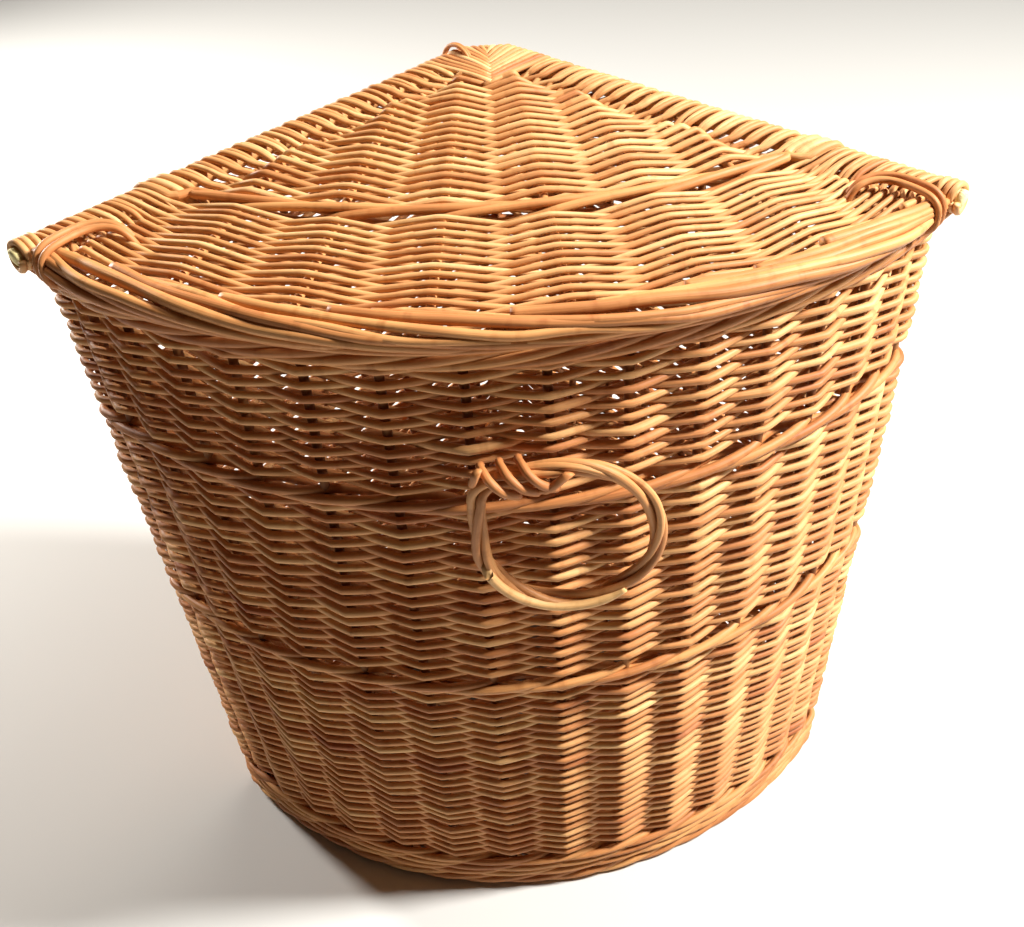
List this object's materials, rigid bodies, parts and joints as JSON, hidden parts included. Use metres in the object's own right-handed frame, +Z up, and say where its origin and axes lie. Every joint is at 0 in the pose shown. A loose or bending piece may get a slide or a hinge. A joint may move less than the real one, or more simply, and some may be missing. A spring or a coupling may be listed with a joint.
{
  "type": "woven corner laundry basket",
  "caption": "Corner laundry basket of woven willow: two straight back walls at a right angle, a bowed front, a hinged woven lid and a willow ring handle on the front.",
  "frame": {"origin": "on the floor below the middle of the closed basket's box", "axes": "+Z up, +X along the line from the left tip to the right tip of the lid, +Y from the bowed front towards the back corner"},
  "size_m": [0.6308, 0.4634, 0.62],
  "materials": {
    "willow_weaver": "varnished willow, semi-gloss",
    "willow_rod": "varnished willow, semi-gloss",
    "willow_wale": "varnished willow, semi-gloss",
    "willow_binding": "varnished willow, semi-gloss"
  },
  "bodies": {
    "basket": {"foot_border": "willow_wale", "base_weave": "willow_weaver", "base_sticks": "willow_rod", "bottom_wale": "willow_wale", "lower_wale": "willow_wale", "upper_wale": "willow_wale", "top_border": "willow_wale", "left_lower_weave": "willow_weaver", "right_lower_weave": "willow_weaver", "front_lower_weave": "willow_weaver", "left_middle_weave": "willow_weaver", "right_middle_weave": "willow_weaver", "front_middle_weave": "willow_weaver", "left_upper_weave": "willow_weaver", "right_upper_weave": "willow_weaver", "front_upper_weave": "willow_weaver", "front_stakes": "willow_rod", "left_stakes": "willow_rod", "right_stakes": "willow_rod", "left_corner_post": "willow_rod", "right_corner_post": "willow_rod", "back_corner_post": "willow_rod", "back_hinge_tie": "willow_binding", "handle_binding": "willow_binding"},
    "lid": {"left_side_rod": "willow_rod", "right_side_rod": "willow_rod", "left_edge_wrap": "willow_weaver", "right_edge_wrap": "willow_weaver", "lid_rear_weave": "willow_weaver", "lid_mid_wale": "willow_wale", "lid_front_weave": "willow_weaver", "lid_front_border": "willow_wale", "lid_ribs": "willow_rod", "left_loop": "willow_binding", "right_loop": "willow_binding"},
    "handle": {"handle_ring": "willow_binding"}
  },
  "joints": [
    {"name": "lid_hinge", "type": "hinge", "parent": "basket", "child": "lid", "pos_m": [-0.15061, 0.07477, 0.602], "axis": [-0.7071, -0.7071, 0], "range_deg": [0, 95]},
    {"name": "handle_swing", "type": "hinge", "parent": "basket", "child": "handle", "pos_m": [0.003, -0.21862, 0.505], "axis": [-0.9848, 0, -0.1736], "range_deg": [-3, 140]}
  ]
}
